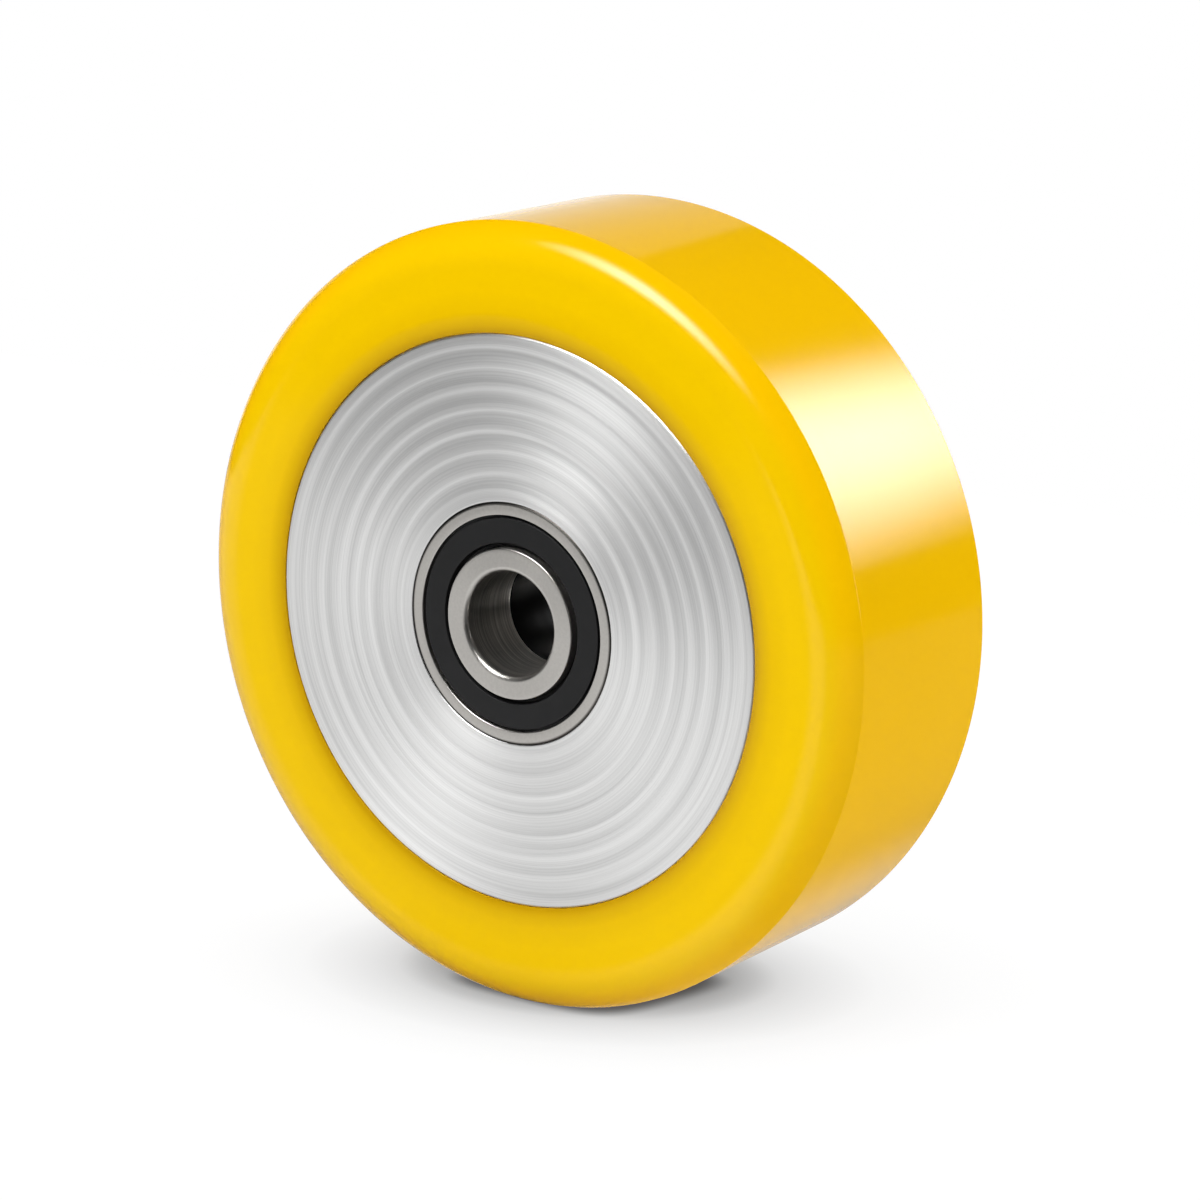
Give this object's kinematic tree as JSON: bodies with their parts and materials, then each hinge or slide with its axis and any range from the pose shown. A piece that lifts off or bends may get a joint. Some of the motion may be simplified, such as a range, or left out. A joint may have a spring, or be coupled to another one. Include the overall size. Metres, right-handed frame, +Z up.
{
  "type": "wheel",
  "caption": "Solid polyurethane wheel: tyre cast on a turned aluminium hub, with a sealed ball bearing in each end and a plain axle bore.",
  "frame": {"origin": "the wheel's centre, on the axle's line midway between the hub's faces", "axes": "+Y along the axle, the pictured face looks along -Y, +Z up, +X to the right of that face"},
  "size_m": [0.15, 0.05, 0.15],
  "materials": {
    "cast_polyurethane": "cast polyurethane, glossy, tread turned to size",
    "turned_aluminium": "faced on a lathe, satin with fine rings",
    "bearing_steel": "ground bearing steel",
    "ball_steel": "polished bearing balls",
    "cage_steel": "pressed steel strip",
    "seal_rubber": "moulded nitrile rubber, matt",
    "blackened_steel": "oil-blackened tube"
  },
  "bodies": {
    "axle_set": {"bearing_spacer": "blackened_steel", "front_inner_ring": "bearing_steel", "rear_inner_ring": "bearing_steel"},
    "wheel": {"tyre": "cast_polyurethane", "hub": "turned_aluminium", "front_outer_ring": "bearing_steel", "front_outer_seal": "seal_rubber", "front_inner_seal": "seal_rubber", "rear_outer_ring": "bearing_steel", "rear_outer_seal": "seal_rubber", "rear_inner_seal": "seal_rubber"},
    "front_cage": {"front_cage_outer_half": "cage_steel", "front_cage_inner_half": "cage_steel", "front_cage_rivets": "cage_steel"},
    "front_ball_1": {"front_ball_1": "ball_steel"},
    "front_ball_2": {"front_ball_2": "ball_steel"},
    "front_ball_3": {"front_ball_3": "ball_steel"},
    "front_ball_4": {"front_ball_4": "ball_steel"},
    "front_ball_5": {"front_ball_5": "ball_steel"},
    "front_ball_6": {"front_ball_6": "ball_steel"},
    "front_ball_7": {"front_ball_7": "ball_steel"},
    "front_ball_8": {"front_ball_8": "ball_steel"},
    "rear_cage": {"rear_cage_outer_half": "cage_steel", "rear_cage_inner_half": "cage_steel", "rear_cage_rivets": "cage_steel"},
    "rear_ball_1": {"rear_ball_1": "ball_steel"},
    "rear_ball_2": {"rear_ball_2": "ball_steel"},
    "rear_ball_3": {"rear_ball_3": "ball_steel"},
    "rear_ball_4": {"rear_ball_4": "ball_steel"},
    "rear_ball_5": {"rear_ball_5": "ball_steel"},
    "rear_ball_6": {"rear_ball_6": "ball_steel"},
    "rear_ball_7": {"rear_ball_7": "ball_steel"},
    "rear_ball_8": {"rear_ball_8": "ball_steel"}
  },
  "joints": [
    {"name": "wheel_spin", "type": "hinge", "parent": "axle_set", "child": "wheel", "pos_m": [0, 0, 0], "axis": [0, 1, 0], "continuous": true},
    {"name": "front_cage_spin", "type": "hinge", "parent": "axle_set", "child": "front_cage", "pos_m": [0, -0.0175, 0], "axis": [0, 1, 0], "continuous": true},
    {"name": "front_ball_1_roll", "type": "hinge", "parent": "front_cage", "child": "front_ball_1", "pos_m": [0, -0.0175, -0.01675], "axis": [0, 1, 0], "continuous": true},
    {"name": "front_ball_2_roll", "type": "hinge", "parent": "front_cage", "child": "front_ball_2", "pos_m": [0.01184, -0.0175, -0.01184], "axis": [0, 1, 0], "continuous": true},
    {"name": "front_ball_3_roll", "type": "hinge", "parent": "front_cage", "child": "front_ball_3", "pos_m": [0.01675, -0.0175, 0], "axis": [0, 1, 0], "continuous": true},
    {"name": "front_ball_4_roll", "type": "hinge", "parent": "front_cage", "child": "front_ball_4", "pos_m": [0.01184, -0.0175, 0.01184], "axis": [0, 1, 0], "continuous": true},
    {"name": "front_ball_5_roll", "type": "hinge", "parent": "front_cage", "child": "front_ball_5", "pos_m": [0, -0.0175, 0.01675], "axis": [0, 1, 0], "continuous": true},
    {"name": "front_ball_6_roll", "type": "hinge", "parent": "front_cage", "child": "front_ball_6", "pos_m": [-0.01184, -0.0175, 0.01184], "axis": [0, 1, 0], "continuous": true},
    {"name": "front_ball_7_roll", "type": "hinge", "parent": "front_cage", "child": "front_ball_7", "pos_m": [-0.01675, -0.0175, 0], "axis": [0, 1, 0], "continuous": true},
    {"name": "front_ball_8_roll", "type": "hinge", "parent": "front_cage", "child": "front_ball_8", "pos_m": [-0.01184, -0.0175, -0.01184], "axis": [0, 1, 0], "continuous": true},
    {"name": "rear_cage_spin", "type": "hinge", "parent": "axle_set", "child": "rear_cage", "pos_m": [0, 0.0175, 0], "axis": [0, 1, 0], "continuous": true},
    {"name": "rear_ball_1_roll", "type": "hinge", "parent": "rear_cage", "child": "rear_ball_1", "pos_m": [0, 0.0175, -0.01675], "axis": [0, 1, 0], "continuous": true},
    {"name": "rear_ball_2_roll", "type": "hinge", "parent": "rear_cage", "child": "rear_ball_2", "pos_m": [0.01184, 0.0175, -0.01184], "axis": [0, 1, 0], "continuous": true},
    {"name": "rear_ball_3_roll", "type": "hinge", "parent": "rear_cage", "child": "rear_ball_3", "pos_m": [0.01675, 0.0175, 0], "axis": [0, 1, 0], "continuous": true},
    {"name": "rear_ball_4_roll", "type": "hinge", "parent": "rear_cage", "child": "rear_ball_4", "pos_m": [0.01184, 0.0175, 0.01184], "axis": [0, 1, 0], "continuous": true},
    {"name": "rear_ball_5_roll", "type": "hinge", "parent": "rear_cage", "child": "rear_ball_5", "pos_m": [0, 0.0175, 0.01675], "axis": [0, 1, 0], "continuous": true},
    {"name": "rear_ball_6_roll", "type": "hinge", "parent": "rear_cage", "child": "rear_ball_6", "pos_m": [-0.01184, 0.0175, 0.01184], "axis": [0, 1, 0], "continuous": true},
    {"name": "rear_ball_7_roll", "type": "hinge", "parent": "rear_cage", "child": "rear_ball_7", "pos_m": [-0.01675, 0.0175, 0], "axis": [0, 1, 0], "continuous": true},
    {"name": "rear_ball_8_roll", "type": "hinge", "parent": "rear_cage", "child": "rear_ball_8", "pos_m": [-0.01184, 0.0175, -0.01184], "axis": [0, 1, 0], "continuous": true}
  ],
  "couplings": [
    {"joint": "front_cage_spin", "follows": "wheel_spin", "ratio": 0.61848},
    {"joint": "front_ball_1_roll", "follows": "wheel_spin", "ratio": 1.9916},
    {"joint": "front_ball_2_roll", "follows": "wheel_spin", "ratio": 1.9916},
    {"joint": "front_ball_3_roll", "follows": "wheel_spin", "ratio": 1.9916},
    {"joint": "front_ball_4_roll", "follows": "wheel_spin", "ratio": 1.9916},
    {"joint": "front_ball_5_roll", "follows": "wheel_spin", "ratio": 1.9916},
    {"joint": "front_ball_6_roll", "follows": "wheel_spin", "ratio": 1.9916},
    {"joint": "front_ball_7_roll", "follows": "wheel_spin", "ratio": 1.9916},
    {"joint": "front_ball_8_roll", "follows": "wheel_spin", "ratio": 1.9916},
    {"joint": "rear_cage_spin", "follows": "wheel_spin", "ratio": 0.61848},
    {"joint": "rear_ball_1_roll", "follows": "wheel_spin", "ratio": 1.9916},
    {"joint": "rear_ball_2_roll", "follows": "wheel_spin", "ratio": 1.9916},
    {"joint": "rear_ball_3_roll", "follows": "wheel_spin", "ratio": 1.9916},
    {"joint": "rear_ball_4_roll", "follows": "wheel_spin", "ratio": 1.9916},
    {"joint": "rear_ball_5_roll", "follows": "wheel_spin", "ratio": 1.9916},
    {"joint": "rear_ball_6_roll", "follows": "wheel_spin", "ratio": 1.9916},
    {"joint": "rear_ball_7_roll", "follows": "wheel_spin", "ratio": 1.9916},
    {"joint": "rear_ball_8_roll", "follows": "wheel_spin", "ratio": 1.9916}
  ]
}
